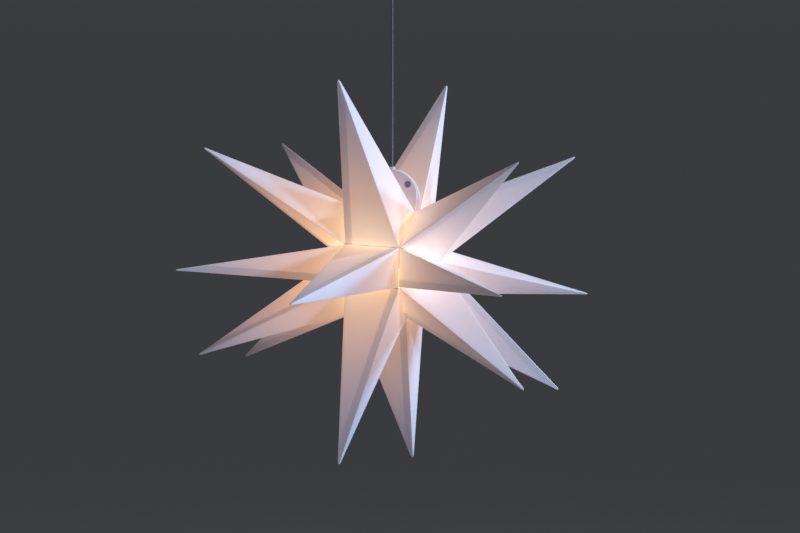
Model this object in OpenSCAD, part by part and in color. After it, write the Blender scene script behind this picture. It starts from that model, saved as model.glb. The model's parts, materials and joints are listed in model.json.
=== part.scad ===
// Folding Christmas star: eighteen hollow sheet spikes in six hinged segments round a
// horizontal ring axis, closed by two tabs at the top and hung with its lamp on a thin cord.
// The origin is the centre of the ceiling plate's upper face, +Z up, the star's ring axis
// along X. Right is +X and the front is -Y.

/* [Star] */
// Distance from the star's centre to the tip of a middle spike
middle_len = 280; // [260:1:300]
// Distance from the star's centre to the tip of a side spike
side_len = 266; // [245:1:285]
// Half the length of a middle spike's base, along the ring axis
base_half = 36; // [35:0.5:38]
// Distance from the centre to the pole where the side spikes meet
pole_dist = 70; // [66:0.5:76]
// Thickness of the folded sheet
sheet = 0.6; // [0.5:0.1:0.8]
// Width of the base flange that is folded inwards and glued
flange_w = 7; // [5:0.5:9]
// Gap left at each base edge for the fold
fold_gap = 0.2; // [0.15:0.05:0.3]
// Lean of the whole star on its cord, with its left end higher
star_tilt = 3.6; // [0:0.1:5]
// Distance from the ceiling down to the star's centre
hang_drop = 380; // [360:5:450]

/* [Closing tabs] */
// Radius of the tab's half-round outline
tab_r = 36; // [34:0.5:37]
// Height of the outline's centre above the star's centre
tab_centre_h = 75; // [74:0.5:77]
// Thickness of the tab
tab_t = 1.2; // [0.8:0.1:1.2]
// Half the gap between the closed tabs
tab_gap_half = 2.2; // [2.2:0.1:2.5]
// Distance of each press stud from the middle of the tab
stud_x = 22; // [18:0.5:23]
// Height of the press studs above the star's centre
stud_h = 93; // [92:0.5:94]

/* [Cord] */
// Diameter of the cord
cord_d = 2; // [1.8:0.1:2]
// Height of the cord stop's flange above the star's centre
stop_h = 90; // [90:0.5:90.5]

/* [Lamp] */
// Height of the lamp holder's top above the star's centre
holder_h = 52; // [50:0.5:54]
// Radius of the lamp holder
holder_r = 13.75; // [13.5:0.05:14]
// Radius of the lamp's globe
globe_r = 20; // [19.5:0.1:20.5]

/* [Ceiling fitting] */
// Radius of the ceiling cup
cup_r = 32; // [31:0.5:36]
// Height of the ceiling cup
cup_h = 24; // [24:0.5:26]
// Distance between the two ceiling screw holes
screw_pitch = 38; // [34:1:40]
// Radius of the ceiling screw holes
screw_hole_r = 2.25; // [2:0.05:2.5]

/* [Hidden] */
$fn = 96;

SEGMENTS = ["front", "upper_front", "upper_rear", "rear", "lower_rear", "lower_front"];
SIDES = ["left", "middle", "right"];
function spike_name(k, side) = str(SEGMENTS[k], "_", SIDES[side + 1], "_spike");

// Angles round the ring axis are measured from the front, upwards.
// Direction of each segment's middle spike
segment_angle = [-10.5, 47, 125, 191.5, 247.75, 300.25];
// How far each segment's side spikes splay out from its middle plane
left_splay = [52.5, 51.25, 50, 53.5, 55, 53.75];
right_splay = [51.5, 50, 50, 53.75, 53, 53];
// How far round the axis each side spike sits from its middle spike
left_turn = [0.75, 0.75, -0.5, 0, 2, 1.25];
right_turn = [0.25, -1.25, 0.25, 0.25, 0.5, -1.25];
// How far each middle spike leans to the right
middle_lean = [0.25, 1, 0.5, 1, 1.25, 2.25];
// The base edges between the segments, from front round to lower front: the second and third
// are the two edges of the mouth, which the closing tabs close
edge_angle = [15.5, 81, 99, 160, 226, 283.5, 324.5];
edge_dist = [56, 61, 61, 56, 60, 74, 58];
// The two edges that each segment's bases run between
segment_edges = [[6, 0], [0, 1], [2, 3], [3, 4], [4, 5], [5, 6]];

cord_r = cord_d / 2;
cord_bore_r = cord_r + 0.1;
cup_wall = 1.6;
// The cord's route, from the grip nut straight down to the lamp holder
cord_route = [for (z = [-32.6, -45, -60, -80, -100, -120, -140, -160, -180, -200, -220, -240,
                        -260, -280, -295, -310, -322, -334]) [0, 0, z]];
// The lamp holder's top and the cord stop's flange, from the ceiling
holder_top = -hang_drop + holder_h;
stop_z = -hang_drop + stop_h * cos(star_tilt);

sheet_white = [0.93, 0.92, 0.94];
moulded_white = [0.88, 0.88, 0.86];
brass_gold = [0.78, 0.62, 0.32];

function unit(v) = v / norm(v);
function mean(p) = [for (i = [0:2]) [for (q = p) q[i]] * [for (q = p) 1] / len(p)];

// A direction round the ring axis
function ring(a) = [0, -cos(a), sin(a)];
// A point on one of the base edges, at x along the ring axis
function edge_point(e, x) = edge_dist[e] * ring(edge_angle[e]) + [x, 0, 0];

// Base corners of a spike. side is -1 left, 0 middle, 1 right.
function base_of(k, side) = let (e = segment_edges[k])
    side == 0 ? [edge_point(e[0], -base_half), edge_point(e[0], base_half),
                 edge_point(e[1], base_half), edge_point(e[1], -base_half)]
    : side > 0 ? [edge_point(e[0], base_half), [pole_dist, 0, 0], edge_point(e[1], base_half)]
    : [edge_point(e[0], -base_half), edge_point(e[1], -base_half), [-pole_dist, 0, 0]];

function tip_of(k, side) = let (lean = side == 0 ? middle_lean[k] : side > 0 ? right_splay[k] : left_splay[k],
                                turn = side == 0 ? 0 : side > 0 ? right_turn[k] : left_turn[k])
    (side == 0 ? middle_len : side_len)
    * (cos(lean) * ring(segment_angle[k] + turn) + sin(lean) * [side < 0 ? -1 : 1, 0, 0]);

// A flat outline with every edge moved inwards by d
function inset(p, d) = let (n = len(p)) [for (i = [0:n - 1])
    let (u = unit(p[(i + 1) % n] - p[i]), v = unit(p[(i + n - 1) % n] - p[i]))
    p[i] + d * (u + v) / norm(cross(u, v))];

// Triangles or quads between two rings of n points that start at a and b
function band(a, b, n) = [for (i = [0:n - 1]) [a + i, a + (i + 1) % n, b + (i + 1) % n, b + i]];
// Triangles from a ring of n points up to one point
function fan(a, top, n) = [for (i = [0:n - 1]) [a + i, a + (i + 1) % n, top]];
function flipped(faces) = [for (f = faces) [for (i = [len(f) - 1:-1:0]) f[i]]];

// One hollow spike: an open pyramid of sheet with a glued flange round its base
module spike_shell(base, tip) {
    n = len(base);
    centre = mean(base);
    rise = tip - centre;
    up = unit(rise);
    outer = inset(base, fold_gap);
    wall = inset(base, fold_gap + sheet);
    lip = inset(base, fold_gap + flange_w);
    // The inside tip sits lower, so that the wall keeps one thickness
    narrow = norm(cross(base[1] - base[0], centre - base[0])) / norm(base[1] - base[0]);
    inside_tip = tip - up * (sheet * norm(rise) / narrow);
    points = concat(outer, lip, [for (p = lip) p + up * sheet], [for (p = wall) p + up * sheet],
                    [tip, inside_tip]);
    faces = concat(fan(0, 4 * n, n), flipped(band(0, n, n)), flipped(band(n, 2 * n, n)),
                   flipped(band(2 * n, 3 * n, n)), flipped(fan(3 * n, 4 * n + 1, n)));
    polyhedron(points, flipped(faces), convexity = 4);
}

// Places a piece that is drawn round the star's centre
module hung_star() {
    translate([0, 0, stop_z]) rotate([0, star_tilt, 0]) translate([0, 0, -stop_h]) children();
}

module spike(k, side) {
    color(sheet_white) hung_star() spike_shell(base_of(k, side), tip_of(k, side));
}

// Outline of a strip of thickness t along the left of a line of points
function seg_normal(p, i) = let (d = unit(p[i + 1] - p[i])) [-d[1], d[0]];
function strip(p, t) = let (n = len(p)) concat(p, [for (i = [n - 1:-1:0])
    let (a = seg_normal(p, max(i - 1, 0)), b = seg_normal(p, min(i, n - 2)))
    p[i] + t * (a + b) / (1 + a * b)]);

// Shape of a tab seen from the end of the ring axis, as (outwards, up): a glued foot under
// the middle spike's base, a slope up out of the mouth, and the part that meets its twin
module tab_profile(mouth, next) {
    m = [-mouth[1], mouth[2]];
    along = unit([-next[1], next[2]] - m);
    inwards = [along[1], -along[0]];
    foot = m + inwards * 2.1;
    polygon(strip([foot + along * 10, foot, [tab_gap_half, 88], [tab_gap_half, tab_centre_h + tab_r + 1]],
                  -tab_t));
}

module tab_outline() {
    difference() {
        union() {
            translate([0, tab_centre_h]) circle(tab_r);
            translate([-base_half + 0.5, 40]) square([2 * base_half - 1, tab_centre_h - 40]);
        }
        // Dip under the cord stop's head
        translate([-4.8, 109]) square([9.6, 10]);
        // Window that the cord stop's flange catches in
        translate([-5.6, 85.6]) square([11.2, 6.1]);
        for (x = [-stud_x, stud_x]) translate([x, stud_h]) circle(1.8);
    }
}

// side is -1 for the front tab and 1 for the rear tab
module closing_tab(side, mouth, next) {
    color(sheet_white) hung_star() intersection() {
        rotate([90, 0, 90]) linear_extrude(2 * tab_r + 2, center = true)
            scale([side, 1]) tab_profile(mouth, next);
        rotate([90, 0, 0]) linear_extrude(120, center = true) tab_outline();
    }
}

module front_closing_tab() {
    closing_tab(-1, edge_point(1, 0), edge_point(0, 0));
}

module rear_closing_tab() {
    closing_tab(1, flip_y(edge_point(2, 0)), flip_y(edge_point(3, 0)));
}
function flip_y(p) = [p[0], -p[1], p[2]];

// Revolves a profile of (radius, distance along) points about the Y direction at each stud
module at_studs(side) {
    hung_star() for (x = [-stud_x, stud_x])
        translate([x, 0, stud_h]) rotate([-90 * side, 0, 0]) children();
}

// Ball halves on the front tab. Distances run outwards from the middle of the gap.
module stud_balls() {
    inside = tab_gap_half;
    color("dimgray") at_studs(-1) rotate_extrude() polygon([
        [0, -1.3], [1.1, -1.3], [1.6, -0.8], [1.6, -0.4], [1.2, 0.1], [1.2, 0.9], [3.6, 0.9], [3.6, inside],
        [1.7, inside], [1.7, inside + tab_t], [4.2, inside + tab_t], [4.2, inside + tab_t + 0.7],
        [3.4, inside + tab_t + 1.5], [1.9, inside + tab_t + 1.5], [1.5, inside + tab_t + 0.8],
        [0, inside + tab_t + 0.8]]);
}

// Socket halves on the rear tab
module stud_sockets() {
    inside = tab_gap_half;
    color("dimgray") at_studs(1) rotate_extrude() polygon([
        [2.3, 0.5], [3.6, 0.5], [3.6, inside], [1.7, inside], [1.7, inside + tab_t], [4.2, inside + tab_t],
        [4.2, inside + tab_t + 0.7], [3.4, inside + tab_t + 1.5], [0, inside + tab_t + 1.5], [0, 1.8],
        [2.3, 1.8]]);
}

// Collar fixed on the cord: head above the tabs, sleeve between them, flange in their windows.
// The flange slopes, so that each tab slips off it as its segment folds away.
module cord_stop() {
    color(moulded_white) translate([0, 0, stop_z]) rotate_extrude() polygon([
        [cord_bore_r, -1], [5.2, -1], [5.2, -0.6], [2.3, 1.1], [2, 1.1], [2, 20.4], [3.8, 20.4], [3.8, 23.8],
        [3.3, 24.3], [cord_bore_r, 24.3]]);
}

// Rings of the cord's tube, one every 6 mm or less along the route
cord_sides = 8;
cord_line = [for (i = [0:len(cord_route) - 2])
    let (a = cord_route[i], b = cord_route[i + 1], n = ceil(norm(b - a) / 6))
    for (j = [0:n - 1]) a + (b - a) * j / n];
cord_points = concat(cord_line, [cord_route[len(cord_route) - 1]]);

module cord() {
    rings = len(cord_points);
    points = [for (p = cord_points, i = [0:cord_sides - 1])
        p + cord_r * [cos(i * 360 / cord_sides), sin(i * 360 / cord_sides), 0]];
    walls = [for (r = [0:rings - 2]) each band(r * cord_sides, (r + 1) * cord_sides, cord_sides)];
    first = [for (i = [cord_sides - 1:-1:0]) i];
    last = [for (i = [0:cord_sides - 1]) (rings - 1) * cord_sides + i];
    color("lightsteelblue") polyhedron(points, concat(walls, [first, last]), convexity = 2);
}

// Turned pieces of the lamp, with heights measured from the holder's top
module turned(profile) {
    translate([0, 0, holder_top]) rotate_extrude() polygon(profile);
}

module holder_cap() {
    color(moulded_white) turned([
        [cord_bore_r, 0], [3.6, 0], [4, -0.5], [4, -5], [8.5, -8], [11.8, -11.3], [holder_r, -15], [holder_r, -22],
        [12.2, -22], [12.2, -15.2], [10.5, -12.8], [4, -8.6], [cord_bore_r, -7]]);
}

module holder_body() {
    color(moulded_white) turned([
        [2.2, -15.6], [12, -15.6], [12, -22.3], [holder_r, -22.3], [holder_r, -49.4], [holder_r - 0.6, -50],
        [8.6, -50], [8.6, -22], [2.2, -22]]);
}

module thread_sleeve() {
    color(brass_gold) turned([[7.2, -24], [8.6, -24], [8.6, -46], [7.2, -46]]);
}

module centre_contact() {
    color(brass_gold) turned([
        [0, -14.6], [3.4, -14.6], [3.4, -15.5], [2.1, -15.5], [2.1, -22.1], [3.6, -22.1], [3.6, -23.3], [0, -23.3]]);
}

// Two short wires from the cord's end to the contacts
module holder_leads() {
    color("indianred") for (x = [-2, 2]) translate([x, 0, holder_top - 14.5]) cylinder(r = 0.6, h = 5.5);
}

module lamp_tip_contact() {
    color("silver") turned([[0, -23.7], [1.6, -23.7], [2.4, -24.3], [2.4, -25.2], [0, -25.2]]);
}

module lamp_insulator() {
    color([0.12, 0.12, 0.14]) turned([[0, -25.3], [3.2, -25.3], [6, -28.2], [0, -28.2]]);
}

// Screw shell with five rounded ridges
ridge_pitch = 2.82;
shell_top = -28.4;
shell_ridges = [for (i = [0:4], q = [[6.2, 0], [6.75, 0.5], [6.95, 1.1], [6.75, 1.7], [6.2, 2.3]])
    [q[0], shell_top - 1.4 - i * ridge_pitch - q[1]]];
module lamp_screw_shell() {
    color("silver") turned(concat([[5.5, shell_top], [6.2, shell_top]], shell_ridges,
                                  [[6.2, -45], [5.5, -45]]));
}

// Plastic collar that flares from the screw shell to the globe and holds the light board
module lamp_collar() {
    color(moulded_white) turned([
        [0, -30], [5.4, -30], [5.4, -45.2], [7, -45.2], [7, -51], [8.6, -53.5], [12.6, -58], [15.8, -62],
        [17.3, -65.2], [15.4, -65.2], [15.4, -63.2], [0, -63.2]]);
}

module light_board() {
    color("whitesmoke") turned([[0, -63.4], [15, -63.4], [15, -65], [0, -65]]);
}

// Ring of light chips on the board, facing down
chip = 3.5;
chip_count = 6;
module light_chips() {
    color("khaki") for (i = [0:chip_count - 1]) rotate([0, 0, i * 360 / chip_count])
        translate([9 - chip / 2, -chip / 2, holder_top - 65.9]) cube([chip, chip, 0.8]);
}

globe_centre = -76;
module lamp_globe() {
    cut = sqrt(globe_r * globe_r - 17.3 * 17.3);
    color([1, 0.95, 0.85, 0.9]) translate([0, 0, holder_top + globe_centre]) difference() {
        sphere(globe_r);
        sphere(globe_r - 1);
        translate([0, 0, cut + 10]) cube([50, 50, 20], center = true);
    }
}

// Turned pieces of the ceiling fitting, with heights measured from the ceiling
module ceiling_turned(profile) {
    rotate_extrude() polygon(profile);
}

plate_r = 28;
lug_y = 26;
lug_t = 1.6;
side_screw_z = -7;
module mounting_plate() {
    color("silver") difference() {
        union() {
            translate([0, 0, -cup_wall]) cylinder(r = plate_r, h = cup_wall);
            for (s = [-1, 1]) translate([-5, s > 0 ? lug_y : -lug_y - lug_t, -12]) cube([10, lug_t, 12]);
        }
        for (s = [-1, 1]) translate([s * screw_pitch / 2, 0, -5]) cylinder(r = screw_hole_r, h = 10);
        translate([0, 40, side_screw_z]) rotate([90, 0, 0]) cylinder(r = 1.6, h = 80);
    }
}

module ceiling_cup() {
    r = cup_r;
    color(moulded_white) difference() {
        ceiling_turned([
            [4.1, -cup_h], [r - 6, -cup_h], [r - 2.5, -cup_h + 1], [r - 0.6, -cup_h + 3.2], [r, -cup_h + 6],
            [r, -0.3], [r - cup_wall, -0.3], [r - cup_wall, -cup_h + 6.2], [r - 2.1, -cup_h + 4.1],
            [r - 3.6, -cup_h + 2.4], [r - 6.2, -cup_h + cup_wall], [4.1, -cup_h + cup_wall]]);
        translate([0, 50, side_screw_z]) rotate([90, 0, 0]) cylinder(r = 1.7, h = 100);
    }
}

// Two side screws that hold the cup on the plate's lugs
module cup_screws() {
    color("silver") for (s = [-1, 1]) translate([0, s * (cup_r + 0.1), side_screw_z]) rotate([-90 * s, 0, 0])
        difference() {
            union() {
                cylinder(r1 = 2.9, r2 = 2.4, h = 1.7);
                translate([0, 0, -8]) cylinder(r = 1.5, h = 8.5);
            }
            translate([-3, -0.4, 1]) cube([6, 0.8, 2]);
        }
}

module cord_grip() {
    color(moulded_white) ceiling_turned([
        [1.3, -17.5], [4, -17.5], [4, -24.1], [7, -24.1], [7, -26.4], [4, -26.4], [4, -31], [1.3, -31]]);
}

module grip_locknut() {
    color(moulded_white) translate([0, 0, -cup_h + cup_wall + 0.1]) difference() {
        cylinder(r = 7, h = 3.6, $fn = 6);
        translate([0, 0, -1]) cylinder(r = 4.05, h = 6);
    }
}

// Clamping nut with a flared mouth, in which the cord can swing
module grip_nut() {
    color(moulded_white) ceiling_turned([
        [4.1, -26.6], [6.6, -26.6], [6.6, -33.5], [5.6, -36.5], [3.6, -36.5], [2.5, -35], [1.7, -33.6],
        [1.3, -32.6], [1.3, -31.3], [4.1, -31.3]]);
}

// Two-pole block where the cord's wires end
module terminal_block() {
    color("white") difference() {
        translate([-8, -5, -10]) cube([16, 10, 8.2]);
        for (x = [-4, 4]) translate([x, 0, -11]) cylinder(r = 1.6, h = 5);
        for (x = [-4, 4]) translate([x, -6, -4.4]) rotate([-90, 0, 0]) cylinder(r = 1.2, h = 12);
    }
}

// The fixed end of the cord, through the grip to the terminal block
module cord_tail() {
    color("lightsteelblue") translate([0, 0, -32.2]) cylinder(r = cord_r, h = 22.1);
}

for (k = [0:5], side = [-1:1])
    spike(k, side);
front_closing_tab();
rear_closing_tab();
stud_balls();
stud_sockets();
cord_stop();
cord();
holder_cap();
holder_body();
thread_sleeve();
centre_contact();
holder_leads();
lamp_tip_contact();
lamp_insulator();
lamp_screw_shell();
lamp_collar();
light_board();
light_chips();
lamp_globe();
mounting_plate();
ceiling_cup();
cup_screws();
cord_grip();
grip_locknut();
grip_nut();
terminal_block();
cord_tail();
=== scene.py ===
import json
import math
import random

import bmesh
import bpy
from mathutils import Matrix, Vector


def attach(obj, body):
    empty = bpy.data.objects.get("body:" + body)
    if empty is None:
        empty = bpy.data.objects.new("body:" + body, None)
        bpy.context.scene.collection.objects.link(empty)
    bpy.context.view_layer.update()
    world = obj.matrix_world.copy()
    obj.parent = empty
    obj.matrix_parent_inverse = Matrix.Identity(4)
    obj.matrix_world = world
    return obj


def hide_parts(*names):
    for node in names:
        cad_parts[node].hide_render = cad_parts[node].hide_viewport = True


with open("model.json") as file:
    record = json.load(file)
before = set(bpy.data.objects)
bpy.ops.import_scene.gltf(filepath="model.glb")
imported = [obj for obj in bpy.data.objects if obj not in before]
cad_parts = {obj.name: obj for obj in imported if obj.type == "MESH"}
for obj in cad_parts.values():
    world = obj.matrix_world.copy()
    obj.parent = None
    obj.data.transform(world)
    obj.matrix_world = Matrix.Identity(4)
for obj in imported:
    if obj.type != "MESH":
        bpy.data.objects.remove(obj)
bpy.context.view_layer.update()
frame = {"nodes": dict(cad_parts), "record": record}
nodes = frame["nodes"]
body_of_node = {n: b for b, members in frame["record"]["behaviour"]["bodies"].items() for n in members}
slot_of_node = {s["node"]: s["material_slot"] for s in frame["record"]["subparts"]}
MM = 0.001

# ---------------------------------------------------------------- the star's own frame
# The star's centre, and its ring axis, which hangs a little lower on the right
CENTRE = Vector((-0.005651, 0.0, -0.380))
TILT = math.radians(3.6)
RING_X = Vector((math.cos(TILT), 0, -math.sin(TILT)))
RING_Y = Vector((0, 1, 0))
RING_Z = Vector((math.sin(TILT), 0, math.cos(TILT)))


def in_star(p):
    """A point in the star's own axes, in millimetres from its centre."""
    d = Vector(p) - CENTRE
    return Vector((d.dot(RING_X), d.dot(RING_Y), d.dot(RING_Z))) / MM


def from_star(p):
    return CENTRE + (RING_X * p[0] + RING_Y * p[1] + RING_Z * p[2]) * MM


# ---------------------------------------------------------------- camera
VIEW_YAW = math.radians(22.7)
VIEW_DISTANCE = 2.24
toward = Vector((math.sin(VIEW_YAW), -math.cos(VIEW_YAW), 0))
camera_data = bpy.data.cameras.new("camera")
camera = bpy.data.objects.new("camera", camera_data)
bpy.context.scene.collection.objects.link(camera)
camera.location = CENTRE + toward * VIEW_DISTANCE
camera.rotation_euler = (-toward).to_track_quat("-Z", "Y").to_euler()
camera_data.sensor_width = 36
camera_data.lens = 80.84
camera_data.shift_x = 0.01475
camera_data.shift_y = -0.01025
camera_data.clip_start, camera_data.clip_end = 0.05, 60
bpy.context.scene.camera = camera
bpy.context.scene.view_settings.view_transform = "Standard"


# ---------------------------------------------------------------- small helpers
def new_mesh_object(name, verts, faces):
    mesh = bpy.data.meshes.new(name)
    mesh.from_pydata([tuple(v) for v in verts], [], faces)
    mesh.validate()
    mesh.polygons.foreach_set("use_smooth", [True] * len(mesh.polygons))
    obj = bpy.data.objects.new(name, mesh)
    bpy.context.scene.collection.objects.link(obj)
    return obj


def face_outwards(obj):
    bm = bmesh.new()
    bm.from_mesh(obj.data)
    bmesh.ops.recalc_face_normals(bm, faces=bm.faces)
    bm.to_mesh(obj.data)
    bm.free()


class Nodes:
    """A short way to write a material's node tree."""

    def __init__(self, name):
        self.material = bpy.data.materials.new(name)
        self.material.use_nodes = True
        self.tree = self.material.node_tree
        self.tree.nodes.clear()
        self.out = self.add("ShaderNodeOutputMaterial")
        self.bsdf = self.add("ShaderNodeBsdfPrincipled")
        self.link(self.bsdf.outputs[0], self.out.inputs["Surface"])

    def add(self, kind, **values):
        node = self.tree.nodes.new(kind)
        for key, value in values.items():
            setattr(node, key, value)
        return node

    def link(self, a, b):
        self.tree.links.new(a, b)

    def put(self, socket, value):
        if isinstance(value, bpy.types.NodeSocket):
            self.link(value, socket)
        else:
            socket.default_value = value

    def math(self, op, a, b=0.0):
        n = self.add("ShaderNodeMath", operation=op)
        self.put(n.inputs[0], a)
        self.put(n.inputs[1], b)
        return n.outputs[0]

    def vector(self, op, a, b):
        n = self.add("ShaderNodeVectorMath", operation=op)
        self.link(a, n.inputs[0])
        n.inputs[1].default_value = tuple(b)
        return n

    def along(self, start, direction):
        """How far a place lies from start along a direction."""
        local = self.vector("SUBTRACT", self.place(), start)
        return self.vector("DOT_PRODUCT", local.outputs[0], direction).outputs["Value"]

    def product(self, first, *others):
        for other in others:
            first = self.math("MULTIPLY", first, other)
        return first

    def mix(self, share, a, b):
        n = self.add("ShaderNodeMix", data_type="RGBA")
        self.put(n.inputs["Factor"], share)
        self.put(n.inputs["A"], a)
        self.put(n.inputs["B"], b)
        return n.outputs["Result"]

    def span(self, value, low, high, to_low=0.0, to_high=1.0):
        n = self.add("ShaderNodeMapRange", interpolation_type="SMOOTHSTEP")
        sockets = ("Value", "From Min", "From Max", "To Min", "To Max")
        for key, v in zip(sockets, (value, low, high, to_low, to_high)):
            self.put(n.inputs[key], v)
        return n.outputs["Result"]

    def place(self):
        return self.add("ShaderNodeTexCoord").outputs["Object"]

    def noise(self, scale, detail, rough):
        n = self.add("ShaderNodeTexNoise")
        n.inputs["Scale"].default_value = scale
        n.inputs["Detail"].default_value = detail
        n.inputs["Roughness"].default_value = rough
        self.link(self.place(), n.inputs["Vector"])
        return n.outputs["Fac"]

    def ramp(self, value, stops):
        n = self.add("ShaderNodeValToRGB")
        while len(n.color_ramp.elements) < len(stops):
            n.color_ramp.elements.new(0.5)
        for element, (at, colour) in zip(n.color_ramp.elements, stops):
            element.position = at
            element.color = (*colour, 1)
        self.link(value, n.inputs[0])
        return n.outputs["Color"]

    def attribute(self, name):
        return self.add("ShaderNodeAttribute", attribute_name=name).outputs["Vector"]

    def bump(self, height, strength, distance):
        n = self.add("ShaderNodeBump")
        n.inputs["Strength"].default_value = strength
        n.inputs["Distance"].default_value = distance
        self.link(height, n.inputs["Height"])
        self.link(n.outputs["Normal"], self.bsdf.inputs["Normal"])

    def set(self, **values):
        for key, value in values.items():
            self.put(self.bsdf.inputs[key.replace("_", " ")], value)


def rgb(r, g, b):
    """A colour with its alpha."""
    return (r, g, b, 1.0)


# ---------------------------------------------------------------- cord
CORD_ROUTE = [(0, 0, z * MM) for z in (-32.6, -45, -60, -80, -100, -120, -140, -160, -180, -200, -220, -240,
                                       -260, -280, -295, -310, -322, -334)]
CORD_D = 2 * MM
CORD_SIDES = 16


def tube_faces(rows, count):
    """Quads between neighbouring rows of count points each, with each row a closed ring."""
    faces = []
    for row in range(0, (rows - 1) * count, count):
        for i in range(count):
            a, b = row + i, row + (i + 1) % count
            faces.append((a, b, b + count, a + count))
    return faces


def make_cord():
    """A round tube through the route's points, with a closed end at each."""
    route = list(reversed(CORD_ROUTE))
    r = CORD_D / 2
    turns = [k / CORD_SIDES * math.tau for k in range(CORD_SIDES)]
    verts = [(x + r * math.cos(t), y + r * math.sin(t), z) for x, y, z in route for t in turns]
    last = (len(route) - 1) * CORD_SIDES
    faces = tube_faces(len(route), CORD_SIDES)
    faces += [tuple(reversed(range(CORD_SIDES))), tuple(last + i for i in range(CORD_SIDES))]
    return new_mesh_object("hanging_cord", verts, faces)


cord = make_cord()
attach(cord, "cord")
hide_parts("cord")

# ---------------------------------------------------------------- spikes
# Lengths in mm
SHEET_T = 0.6
FLANGE_W = 6.8
STRIP_W = 9.5
# Radius of the creases outside and inside
CREASE_R = 0.75
INSIDE_R = 0.3
# The walls would meet this far beyond the blunt tip
TIP_BEYOND = 9.0
# Heights up a spike, as shares of its length
INSIDE_FOOT, INSIDE_END = 0.0035, 0.965
OUTSIDE_FOOT = (0.003, 0.008, 0.016)
OUTSIDE_END = 0.985
SEAM_FOOT, SEAM_END = 0.02, 0.72
# Steps along a side and round a corner, and rings up the inside, the outside, the tip and the seam
SIDE_STEPS = 8
CORNER_STEPS = 4
INSIDE_RINGS = 36
OUTSIDE_RINGS = 40
TIP_RINGS = 5
SEAM_ROWS = 18
# A corner's rounding takes up at most this share of a side
MOST_ROUNDED = 0.42
# What the material reads where there is no seam
NO_SEAM = 99.0
# A spike's CAD node has its inside tip nearer than this to its tip, and its base further away
NEAR_TIP = 30


def spike_corners(node):
    """Base corners in order, and the tip, read off a spike's CAD node. In the star's axes, in mm."""
    points = {tuple(round(c, 2) for c in in_star(v.co)) for v in nodes[node].data.vertices}
    points = [Vector(p) for p in sorted(points)]
    tip = max(points, key=lambda p: p.length)
    rest = [p for p in points if (p - tip).length > NEAR_TIP]
    # Seen from the tip, the base corners are the convex outline of the other points
    axis = (sum((p - tip for p in rest), Vector()) / len(rest)).normalized()
    across = axis.cross(Vector((0.31, 0.52, 0.79))).normalized()
    up = axis.cross(across)
    flat = []
    for p in rest:
        d = p - tip
        flat.append((d.dot(across) / d.dot(axis), d.dot(up) / d.dot(axis), p))
    flat.sort(key=lambda q: (q[0], q[1]))

    def chain(items):
        """One side of the outline: points that turn the other way are dropped."""
        out = []
        for q in items:
            while len(out) > 1 and ((out[-1][0] - out[-2][0]) * (q[1] - out[-2][1])
                                    - (out[-1][1] - out[-2][1]) * (q[0] - out[-2][0])) <= 1e-5:
                out.pop()
            out.append(q)
        return out[:-1]

    ring = [q[2] for q in chain(flat) + chain(list(reversed(flat)))]
    middle = sum(ring, Vector()) / len(ring)
    if (ring[1] - ring[0]).cross(ring[2] - ring[1]).dot(tip - middle) < 0:
        ring.reverse()
    return ring, tip


def corner_angle(p):
    """Direction round the ring axis of a base corner: 0 in front, 90 up."""
    return math.degrees(math.atan2(p.z, -p.y))


def rounding(before, corner, after, radius):
    """Half the angle at a corner, and how far its rounding reaches along both sides."""
    u, v = before - corner, after - corner
    half = u.angle(v) / 2
    return half, min(radius / math.tan(half), MOST_ROUNDED * u.length, MOST_ROUNDED * v.length)


def section(corners, radius):
    """A closed outline with rounded corners: each point, the side it belongs to, its step, and whether it
    lies on the straight part. Every outline of one spike has the same number of points."""
    n = len(corners)
    out = []
    for i in range(n):
        a, b, c, d = (corners[(i + k) % n] for k in (-1, 0, 1, 2))
        half, reach = rounding(a, b, c, radius)
        r = reach * math.tan(half)
        u, v = (a - b).normalized(), (c - b).normalized()
        middle = b + (u + v).normalized() * (r / math.sin(half))
        start, end = b + u * reach, b + v * reach
        for k in range(CORNER_STEPS + 1):
            p = start.lerp(end, k / CORNER_STEPS)
            out.append((middle + (p - middle).normalized() * r, i, k, False))
        far = c - v * rounding(b, c, d, radius)[1]
        out += [(end.lerp(far, k / SIDE_STEPS), i, k, True) for k in range(1, SIDE_STEPS)]
    return out


def line_distance(p, a, b):
    """Distance from a point to the line through two others."""
    d = (b - a).normalized()
    return ((p - a) - d * (p - a).dot(d)).length


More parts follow.
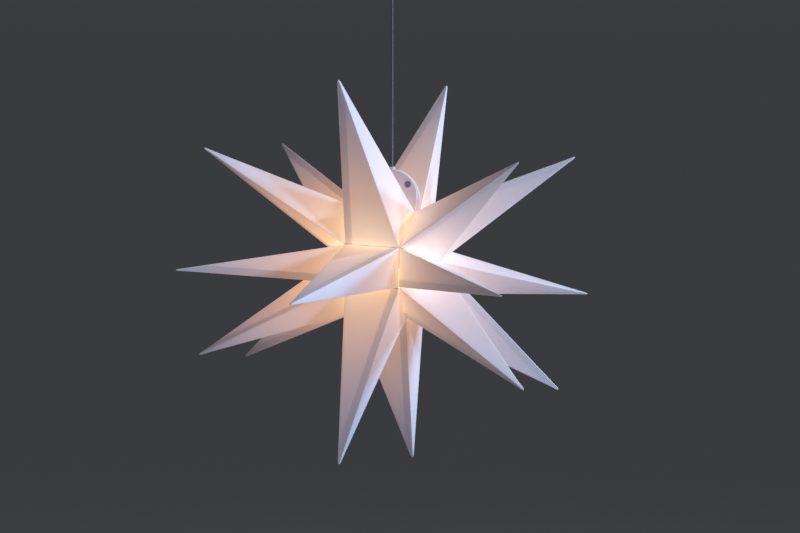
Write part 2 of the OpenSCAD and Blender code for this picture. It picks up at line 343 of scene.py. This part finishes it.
class Spike:
    """One folded spike: rounded creases, slightly bowed walls, a blunt tip, a glued flange round its base,
    and the seam's second layer inside. seams says which wall carries the seam, and whether its crease is at
    the wall's end. All in the star's axes, in mm."""

    def __init__(self, node, seams):
        self.base, self.tip = spike_corners(node)
        self.seams = seams
        base = self.base
        self.n = len(base)
        self.centre = sum(base, Vector()) / self.n
        self.axis = self.tip - self.centre
        self.normal = (base[1] - base[0]).cross(base[2] - base[1]).normalized()
        # How far up the walls would meet, as a share of the length
        self.grow = (self.axis.length + TIP_BEYOND) / self.axis.length
        # Distance from the base's centre to the nearest wall
        self.room = min(line_distance(self.centre, base[i - 1], base[i]) for i in range(self.n))
        # Outward direction of each wall, from the corner with its own number to the next
        self.walls = [(base[(i + 1) % self.n] - base[i]).cross(self.tip - base[i]).normalized()
                      for i in range(self.n)]
        draw = random.Random(node)
        self.bows = [draw.uniform(-0.35, 0.9) for _ in range(self.n)]
        self.waves = [(draw.uniform(0.15, 0.4), draw.uniform(0, math.tau)) for _ in range(self.n)]

    def at(self, p, s):
        """Where a base point's own line up the spike is at height s, 0 to 1."""
        return self.centre + (p - self.centre) * (1 - s / self.grow) + self.axis * s

    def corners(self, s, inwards):
        """The outline's corners at height s, moved inwards by a distance."""
        ring = [self.at(b, s) for b in self.base]
        if not inwards:
            return ring
        sides = [(ring[(i + 1) % self.n] - ring[i]).normalized() for i in range(self.n)]
        return [p + (sides[i] - sides[i - 1]) * (inwards / max(sides[i].cross(sides[i - 1]).length, 0.2))
                for i, p in enumerate(ring)]

    def ring(self, s, inwards=0.0, radius=CREASE_R, lift=0.0, shrink=1.0):
        """A ring of points at height s. lift moves it along the base's normal, shrink draws it together."""
        room = self.room * (1 - s / self.grow)
        # Near the tip there is no room for a whole sheet's thickness, or for a wide rounding
        if s > 0:
            inwards = min(inwards, 0.45 * room)
        middle = self.centre + self.axis * s
        ring = []
        for p, side, k, straight in section(self.corners(s, inwards), min(radius, 0.5 * room)):
            if straight and 0 < s < 1 and shrink == 1.0:
                amount, phase = self.waves[side]
                bend = math.sin(math.pi * min(1, s / 0.97)) * math.sin(math.pi * k / SIDE_STEPS)
                p = p + self.walls[side] * bend * (self.bows[side] + amount * math.sin(7 * s + phase))
            ring.append(middle + (p - middle) * shrink + self.normal * lift)
        return ring

    def rings(self):
        """All the rings, from the inside's top down to the flange, round it and up the outside to the tip."""
        rings = [self.ring(INSIDE_END, SHEET_T, INSIDE_R, shrink=0.25)]
        for j in range(INSIDE_RINGS, -1, -1):
            s = INSIDE_FOOT + (INSIDE_END - INSIDE_FOOT) * j / INSIDE_RINGS
            rings.append(self.ring(s, SHEET_T, INSIDE_R))
        # The flange's free edge, rounded over the sheet's thickness
        for inwards, lift in ((FLANGE_W, SHEET_T), (FLANGE_W + 0.2, SHEET_T / 2), (FLANGE_W, 0.0)):
            rings.append(self.ring(0.0, inwards, 0.8, lift))
        # The fold between the flange and the walls
        rings.append(self.ring(0.0, 0.12, 0.7))
        rings.append(self.ring(0.0006))
        rings += [self.ring(s) for s in OUTSIDE_FOOT]
        foot = OUTSIDE_FOOT[-1]
        for j in range(1, OUTSIDE_RINGS + 1):
            rings.append(self.ring(foot + (OUTSIDE_END - foot) * j / OUTSIDE_RINGS))
        for k in range(1, TIP_RINGS):
            turn = k / TIP_RINGS * math.pi / 2
            shrink = max(math.cos(turn), 0.02) ** 0.8
            rings.append(self.ring(OUTSIDE_END + (1 - OUTSIDE_END) * math.sin(turn), shrink=shrink))
        return rings

    def shell(self):
        rings = self.rings()
        count = len(rings[0])
        verts = [p for ring in rings for p in ring]
        last, inner_cap, outer_cap = len(verts) - count, len(verts), len(verts) + 1
        verts += [self.centre + self.axis * (INSIDE_END + 0.001), self.tip]
        faces = tube_faces(len(rings), count)
        for i in range(count):
            faces.append(((i + 1) % count, i, inner_cap))
            faces.append((last + i, last + (i + 1) % count, outer_cap))
        return verts, faces

    def seam_layer(self, wall, at_end, first):
        """The seam's second layer, against the inside of its wall. first is its first vertex's number."""
        a, b = self.base[wall], self.base[(wall + 1) % self.n]
        crease, other = (b, a) if at_end else (a, b)
        verts = []
        for j in range(SEAM_ROWS + 1):
            s = SEAM_FOOT + (SEAM_END - SEAM_FOOT) * j / SEAM_ROWS
            start = self.at(crease, s)
            across = self.at(other, s) - start
            width = max(min(STRIP_W, across.length * 0.62), 2.2)
            near, far = (start + across.normalized() * w for w in (1.6, width))
            for q, depth in ((near, 0.75), (far, 0.75), (far, 1.2), (near, 1.2)):
                verts.append(q - self.walls[wall] * depth)
        faces = [tuple(first + i for i in face) for face in tube_faces(SEAM_ROWS + 1, 4)]
        faces.append(tuple(first + i for i in (3, 2, 1, 0)))
        faces.append(tuple(first + 4 * SEAM_ROWS + i for i in range(4)))
        return verts, faces

    def sheet_values(self, mesh):
        """What the material reads at each face corner, in mm: distance to the seam's crease, to the nearest
        crease and to the base."""
        beyond = self.centre + self.axis * self.grow
        seam_at_end = dict(self.seams)
        points = [in_star(v.co) for v in mesh.vertices]
        values = []
        for polygon in mesh.polygons:
            middle = sum((points[i] for i in polygon.vertices), Vector()) / len(polygon.vertices)
            wall = min(range(self.n), key=lambda i: abs((middle - self.base[i]).dot(self.walls[i])))
            a, b = self.base[wall], self.base[(wall + 1) % self.n]
            for i in polygon.vertices:
                p = points[i]
                to_a, to_b = line_distance(p, a, beyond), line_distance(p, b, beyond)
                seam = NO_SEAM
                if wall in seam_at_end:
                    seam = to_b if seam_at_end[wall] else to_a
                values.extend((seam, min(to_a, to_b), (p - self.centre).dot(self.normal)))
        return values


def make_spike(node, seams):
    """The visual piece for a spike, with the values that its material reads."""
    spike = Spike(node, seams)
    verts, faces = spike.shell()
    for wall, at_end in seams:
        more_verts, more_faces = spike.seam_layer(wall, at_end, len(verts))
        verts += more_verts
        faces += more_faces
    obj = new_mesh_object(node.replace("_spike", "_sheet"), [from_star(v) for v in verts], faces)
    face_outwards(obj)
    layer = obj.data.attributes.new("sheet", "FLOAT_VECTOR", "CORNER")
    layer.data.foreach_set("vector", spike.sheet_values(obj.data))
    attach(obj, body_of_node[node])
    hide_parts(node)
    return obj


# Rough directions of the base edges round the ring axis, in degrees: above and below the front segment,
# between the two lower segments, at the back of the mouth, and above the rear segment
ABOVE_FRONT, BELOW_FRONT, BOTTOM, MOUTH_REAR, ABOVE_REAR = 15, -35, -75, 100, 160
# A corner this near to a direction lies on that edge
SAME_EDGE = 8
LEFT, RIGHT, POLE = "left", "right", ("pole", 0)
# Corners further out along the ring axis than this are poles, in mm
POLE_FROM = 60
# Each spike's seam: the two ends of its wall's base edge, and the one that its crease starts from
SEAMS = {
    "front_left_spike": ((LEFT, ABOVE_FRONT), (LEFT, BELOW_FRONT), (LEFT, BELOW_FRONT)),
    "front_middle_spike": ((LEFT, ABOVE_FRONT), (RIGHT, ABOVE_FRONT), (RIGHT, ABOVE_FRONT)),
    "front_right_spike": ((RIGHT, ABOVE_FRONT), (RIGHT, BELOW_FRONT), (RIGHT, BELOW_FRONT)),
    "upper_front_left_spike": ((LEFT, ABOVE_FRONT), POLE, POLE),
    "upper_front_middle_spike": ((LEFT, ABOVE_FRONT), (RIGHT, ABOVE_FRONT), (LEFT, ABOVE_FRONT)),
    "upper_front_right_spike": ((RIGHT, ABOVE_FRONT), POLE, (RIGHT, ABOVE_FRONT)),
    "upper_rear_left_spike": ((LEFT, MOUTH_REAR), POLE, (LEFT, MOUTH_REAR)),
    "upper_rear_middle_spike": ((LEFT, MOUTH_REAR), (RIGHT, MOUTH_REAR), (LEFT, MOUTH_REAR)),
    "upper_rear_right_spike": ((RIGHT, MOUTH_REAR), POLE, (RIGHT, MOUTH_REAR)),
    "rear_left_spike": ((LEFT, ABOVE_REAR), POLE, POLE),
    "rear_middle_spike": ((LEFT, ABOVE_REAR), (RIGHT, ABOVE_REAR), (LEFT, ABOVE_REAR)),
    "rear_right_spike": ((RIGHT, ABOVE_REAR), POLE, (RIGHT, ABOVE_REAR)),
    "lower_rear_left_spike": ((LEFT, BOTTOM), POLE, (LEFT, BOTTOM)),
    "lower_rear_middle_spike": ((LEFT, BOTTOM), (RIGHT, BOTTOM), (RIGHT, BOTTOM)),
    "lower_rear_right_spike": ((RIGHT, BOTTOM), POLE, POLE),
    "lower_front_left_spike": ((LEFT, BELOW_FRONT), POLE, (LEFT, BELOW_FRONT)),
    "lower_front_middle_spike": ((LEFT, BELOW_FRONT), (RIGHT, BELOW_FRONT), (RIGHT, BELOW_FRONT)),
    "lower_front_right_spike": ((RIGHT, BELOW_FRONT), (RIGHT, BOTTOM), (RIGHT, BOTTOM)),
}


def is_corner(p, name):
    """Whether a base corner is the named one: LEFT or RIGHT with the angle of its edge, or POLE."""
    side, angle = name
    if abs(p.x) > POLE_FROM:
        return name == POLE
    off = (corner_angle(p) - angle + 180) % 360 - 180
    return side == (LEFT if p.x < 0 else RIGHT) and abs(off) < SAME_EDGE


def seam_for(node, ends, crease):
    """Finds the wall between two base corners, and whether the crease is at its end. The list has one entry,
    because each spike has one seam."""
    base, _ = spike_corners(node)
    for i, a in enumerate(base):
        b = base[(i + 1) % len(base)]
        for first, second in (ends, reversed(ends)):
            if is_corner(a, first) and is_corner(b, second):
                return [(i, is_corner(b, crease))]
    raise ValueError(f"no such wall on {node}")


spikes = []
for node_name in sorted(SEAMS):
    *wall_ends, crease_from = SEAMS[node_name]
    spikes.append(make_spike(node_name, seam_for(node_name, wall_ends, crease_from)))


# ---------------------------------------------------------------- materials
# The studio's colours near the horizon and overhead
HORIZON = (0.042, 0.043, 0.048)
ZENITH = (0.085, 0.09, 0.105)
# Centre of the glow painted on the sheet, where the lamp's light comes from, in the star's axes in mm
GLOW_CENTRE = (0, -6, 10)
# The glow's strength beside the lamp on the left and on the right, and the distance in metres over which the
# right one falls to about a third
LEFT_STRENGTH, RIGHT_STRENGTH, RIGHT_FADE = 0.56, 0.54, 0.13
# The glow's tint by distance from the lamp, in metres
CREAM, ORANGE, ROSE = (1, 0.68, 0.36), (1, 0.5, 0.26), (1, 0.54, 0.4)
MAUVE, LAVENDER = (1, 0.62, 0.66), (0.65, 0.65, 1)
TINTS = [(0.04, CREAM), (0.11, ORANGE), (0.17, ROSE), (0.22, MAUVE), (0.30, LAVENDER)]


def glow_at(m):
    """The lamp's light as it comes through the sheet, painted as a glow by place: its tint, and how much is
    left of it at this distance. The glow is painted to reach further on the left, where it fades out
    smoothly. To the right it thins out evenly."""
    away = m.vector("DISTANCE", m.place(), from_star(GLOW_CENTRE))
    far = away.outputs["Value"]
    on_left = m.span(m.along(CENTRE, RING_X), 0.12, -0.12)
    on_left.node.interpolation_type = "LINEAR"
    left = m.span(far, 0.06, 0.30, LEFT_STRENGTH, 0.0)
    right = m.math("MULTIPLY", m.math("EXPONENT", m.math("DIVIDE", far, -RIGHT_FADE)), RIGHT_STRENGTH)
    strength = m.math("ADD", m.math("MULTIPLY", on_left, left),
                      m.math("MULTIPLY", m.math("SUBTRACT", 1.0, on_left), right))
    return m.ramp(far, TINTS), strength


def sheet_material():
    """The translucent sheet: the lamp's glow painted as emission, dimmer through the double seams and along
    the base's fold, brighter near the base, with painted shade beside the creases and at each seam's end,
    creases that are partly whitened and partly a painted highlight, and faint fibres and clouds."""
    m = Nodes("folded_sheet")
    sheet = m.add("ShaderNodeSeparateXYZ")
    m.link(m.attribute("sheet"), sheet.inputs[0])
    strip, crease, height = sheet.outputs
    in_strip = m.span(strip, STRIP_W + 0.35, STRIP_W - 0.35)
    fibre = m.noise(900, 4, 0.6)
    cloud = m.noise(34, 2, 0.5)
    # At the creases the sheet is painted lighter and lets more glow through: partly the whitening of folded
    # sheet, partly a painted highlight along each crease
    folded = m.span(crease, 0.9, 0.15)
    # Painted shade: a band beside each crease where the glow is dimmer
    beside = m.math("MULTIPLY", m.span(crease, 0.6, 1.1), m.span(crease, 2.6, 1.4))
    # Painted light: the glow is painted brighter near the base
    near_base_glow = m.span(height, 15.0, 0.5)
    # Painted shade: the glow is almost cut off in the fold at the base
    base_fold_shade = m.span(height, 0.9, 0.3)
    # Painted shade: a dark line where each seam's second layer ends at the base, in both the glow and the
    # sheet's colour
    seam_end_shade = m.math("MULTIPLY", in_strip, m.span(height, 1.5, 0.9))
    # The share of the lamp's painted glow that each of these lets through
    through = m.product(m.span(in_strip, 0, 1, 1.0, 0.56), m.span(cloud, 0.3, 0.7, 0.965, 1.035),
                        m.span(fibre, 0.2, 0.8, 0.98, 1.02), m.span(beside, 0, 1, 1.0, 0.9),
                        m.span(folded, 0, 1, 1.0, 1.08), m.span(near_base_glow, 0, 1, 1.0, 1.15),
                        m.span(base_fold_shade, 0, 1, 1.0, 0.12), m.span(seam_end_shade, 0, 1, 1.0, 0.25))
    base = m.mix(folded, rgb(0.88, 0.865, 0.90), rgb(0.92, 0.91, 0.94))
    # The seam's end is painted dark brown, as shade
    base = m.mix(m.math("MULTIPLY", seam_end_shade, 0.75), base, rgb(0.22, 0.17, 0.15))
    base = m.mix(m.span(cloud, 0.35, 0.65, 0.0, 0.05), base, rgb(0.80, 0.79, 0.84))
    tint, strength = glow_at(m)
    m.set(Base_Color=base, Roughness=m.span(fibre, 0.25, 0.75, 0.42, 0.52), Emission_Color=tint,
          Emission_Strength=m.math("MULTIPLY", through, strength))
    m.bump(m.noise(45, 1, 0.4), 0.15, 0.0006)
    return m.material


# Centre of the closing tabs' round outline, in the star's axes in mm
TAB_CENTRE = (0, 0, 75)


def tab_material():
    """The closing tabs: the same sheet, further from the lamp, with a painted glow that is warmer towards the
    lower end and a painted highlight along the round edge.
    """
    m = Nodes("tab_sheet")
    middle = from_star(TAB_CENTRE)
    across, up = m.along(middle, RING_X), m.along(middle, RING_Z)
    out = m.math("SQRT", m.math("ADD", m.math("POWER", across, 2.0), m.math("POWER", up, 2.0)))
    # Painted highlight: the tabs' round edge is painted lighter and glows lavender
    rim_highlight = m.math("MULTIPLY", m.span(out, 0.0346, 0.0357), m.span(up, -0.002, 0.002))
    fibre = m.noise(900, 4, 0.6)
    low_end = m.span(up, 0.030, -0.035)
    glow = m.mix(low_end, rgb(0.30, 0.22, 0.24), rgb(0.80, 0.45, 0.26))
    glow = m.mix(rim_highlight, glow, rgb(0.62, 0.58, 0.68))
    base = m.mix(rim_highlight, rgb(0.62, 0.60, 0.70), rgb(0.9, 0.9, 0.95))
    m.set(Base_Color=base, Roughness=0.4, Emission_Color=glow,
          Emission_Strength=m.span(fibre, 0.2, 0.8, 0.44, 0.50))
    m.bump(m.noise(45, 1, 0.4), 0.15, 0.0006)
    return m.material


def moulded(name, low, high, roughness, metallic=0.0, grain=260, bump=0.08, glow=None, strength=0.0):
    """Moulded plastic, rubber or metal: two close tones in a noise, with an uneven sheen."""
    m = Nodes(name)
    fine, broad = m.noise(grain * 4, 3, 0.6), m.noise(grain * 0.4, 2, 0.5)
    m.set(Base_Color=m.mix(broad, rgb(*low), rgb(*high)), Metallic=metallic,
          Roughness=m.span(fine, 0.25, 0.75, max(roughness - 0.05, 0.02), roughness + 0.05))
    if glow:
        m.set(Emission_Color=rgb(*glow),
              Emission_Strength=m.span(broad, 0.3, 0.7, strength * 0.97, strength * 1.03))
    m.bump(fine, bump, 0.0002)
    return m.material


def cord_material():
    """A round plastic sheath: grey-lavender, with faint rings from its extrusion."""
    m = Nodes("sheath")
    wave = m.add("ShaderNodeTexWave", wave_type="BANDS", bands_direction="Z")
    m.link(m.place(), wave.inputs["Vector"])
    wave.inputs["Scale"].default_value = 190
    wave.inputs["Distortion"].default_value = 1.5
    fine = m.noise(1200, 2, 0.5)
    m.set(Base_Color=m.mix(wave.outputs["Fac"], rgb(0.17, 0.165, 0.20), rgb(0.21, 0.20, 0.24)),
          Roughness=m.span(fine, 0.2, 0.8, 0.38, 0.48))
    m.bump(wave.outputs["Fac"], 0.1, 0.0002)
    return m.material


MATERIALS = {
    "star_sheet": sheet_material(),
    "press_stud": moulded("stud_plastic", (0.22, 0.21, 0.28), (0.27, 0.26, 0.34), 0.35),
    "moulded_white": moulded("white_plastic", (0.70, 0.70, 0.71), (0.76, 0.76, 0.77), 0.38),
    "cord_sheath": cord_material(),
    "contact_brass": moulded("brass", (0.62, 0.45, 0.19), (0.70, 0.52, 0.24), 0.28, 1.0, bump=0.05),
    "wire_red": moulded("wire_sheath", (0.48, 0.03, 0.03), (0.56, 0.05, 0.04), 0.42),
    "plated_metal": moulded("nickel", (0.68, 0.66, 0.62), (0.76, 0.74, 0.70), 0.2, 1.0, bump=0.05),
    "insulator_black": moulded("black_glass", (0.012, 0.012, 0.014), (0.022, 0.022, 0.025), 0.18),
    "board_white": moulded("board", (0.74, 0.74, 0.72), (0.80, 0.80, 0.78), 0.5),
    "light_chip": moulded("chip", (0.80, 0.62, 0.18), (0.86, 0.68, 0.24), 0.4, glow=(1.0, 0.74, 0.38),
                          strength=6.0),
    "lamp_globe": moulded("opal_globe", (0.86, 0.82, 0.74), (0.90, 0.86, 0.80), 0.25, glow=(1.0, 0.72, 0.40),
                          strength=1.4),
    "zinc_steel": moulded("zinc", (0.50, 0.51, 0.53), (0.60, 0.61, 0.63), 0.36, 1.0, grain=90, bump=0.1),
}
TAB_SHEET = tab_material()


def dress(obj, material):
    obj.data.materials.clear()
    obj.data.materials.append(material)
    for polygon in obj.data.polygons:
        polygon.material_index = 0


for name, obj in nodes.items():
    dress(obj, TAB_SHEET if name.endswith("closing_tab") else MATERIALS[slot_of_node[name]])
for obj in spikes:
    dress(obj, MATERIALS["star_sheet"])
dress(cord, MATERIALS["cord_sheath"])

# ---------------------------------------------------------------- stage
FLOOR_Z = -1.30
FLOOR_RADIUS = 40


def make_floor():
    mesh = bpy.data.meshes.new("floor")
    bm = bmesh.new()
    bmesh.ops.create_circle(bm, cap_ends=True, radius=FLOOR_RADIUS, segments=96)
    bm.to_mesh(mesh)
    bm.free()
    obj = bpy.data.objects.new("floor", mesh)
    obj.location = (0, 0, FLOOR_Z)
    bpy.context.scene.collection.objects.link(obj)
    return obj


floor = make_floor()


def floor_material():
    """A pale floor that fades with distance into the colour of the horizon."""
    m = Nodes("pale_floor")
    length = m.add("ShaderNodeVectorMath", operation="LENGTH")
    m.link(m.place(), length.inputs[0])
    near = m.span(length.outputs["Value"], 7.0, 1.6)
    base = m.mix(m.noise(3, 3, 0.5), rgb(0.50, 0.495, 0.49), rgb(0.54, 0.535, 0.53))
    m.set(Base_Color=base, Roughness=0.75)
    away = m.add("ShaderNodeEmission")
    away.inputs["Color"].default_value = rgb(*HORIZON)
    blend = m.add("ShaderNodeMixShader")
    m.link(near, blend.inputs[0])
    m.link(away.outputs[0], blend.inputs[1])
    m.link(m.bsdf.outputs[0], blend.inputs[2])
    m.link(blend.outputs[0], m.out.inputs["Surface"])
    return m.material


floor.data.materials.append(floor_material())


def make_world():
    """A plain studio that gets a little lighter overhead."""
    world = bpy.data.worlds.new("studio")
    world.use_nodes = True
    tree = world.node_tree
    split = tree.nodes.new("ShaderNodeSeparateXYZ")
    tree.links.new(tree.nodes.new("ShaderNodeTexCoord").outputs["Generated"], split.inputs[0])
    sky = tree.nodes.new("ShaderNodeValToRGB")
    for element, (at, colour) in zip(sky.color_ramp.elements, ((0.12, HORIZON), (0.9, ZENITH))):
        element.position, element.color = at, rgb(*colour)
    tree.links.new(split.outputs["Z"], sky.inputs[0])
    tree.links.new(sky.outputs["Color"], tree.nodes["Background"].inputs["Color"])
    return world


bpy.context.scene.world = make_world()


def area_light(name, direction, distance, size, energy, colour):
    """A round soft light that faces the star from a direction."""
    data = bpy.data.lights.new(name, "AREA")
    data.shape = "DISK"
    data.size = size
    data.energy = energy
    data.color = colour
    obj = bpy.data.objects.new(name, data)
    bpy.context.scene.collection.objects.link(obj)
    d = Vector(direction).normalized()
    obj.location = CENTRE + d * distance
    obj.rotation_euler = d.to_track_quat("Z", "Y").to_euler()
    return obj


area_light("key_top", (0.7, 0.4, 0.6), 2.2, 0.3, 20, (0.92, 0.93, 1.0))
key_side = area_light("key_side", (0.97, 0.2, 0.1), 2.2, 0.3, 22, (0.28, 0.58, 1.0))
key_low = area_light("key_low", (0.9, -0.4, 0.1), 2.2, 0.3, 14, (0.66, 0.74, 1.0))
area_light("fill", (-0.35, -0.90, 0.20), 2.6, 1.6, 2, (1.0, 0.86, 0.88))
# The two side lights are low, so they are kept off the floor, where they would make pools of their own
star_only = bpy.data.collections.new("lit_from_the_side")
for obj in [o for o in bpy.context.scene.objects if o.type == "MESH" and o != floor]:
    star_only.objects.link(obj)
for low_light in (key_side, key_low):
    low_light.light_linking.receiver_collection = star_only
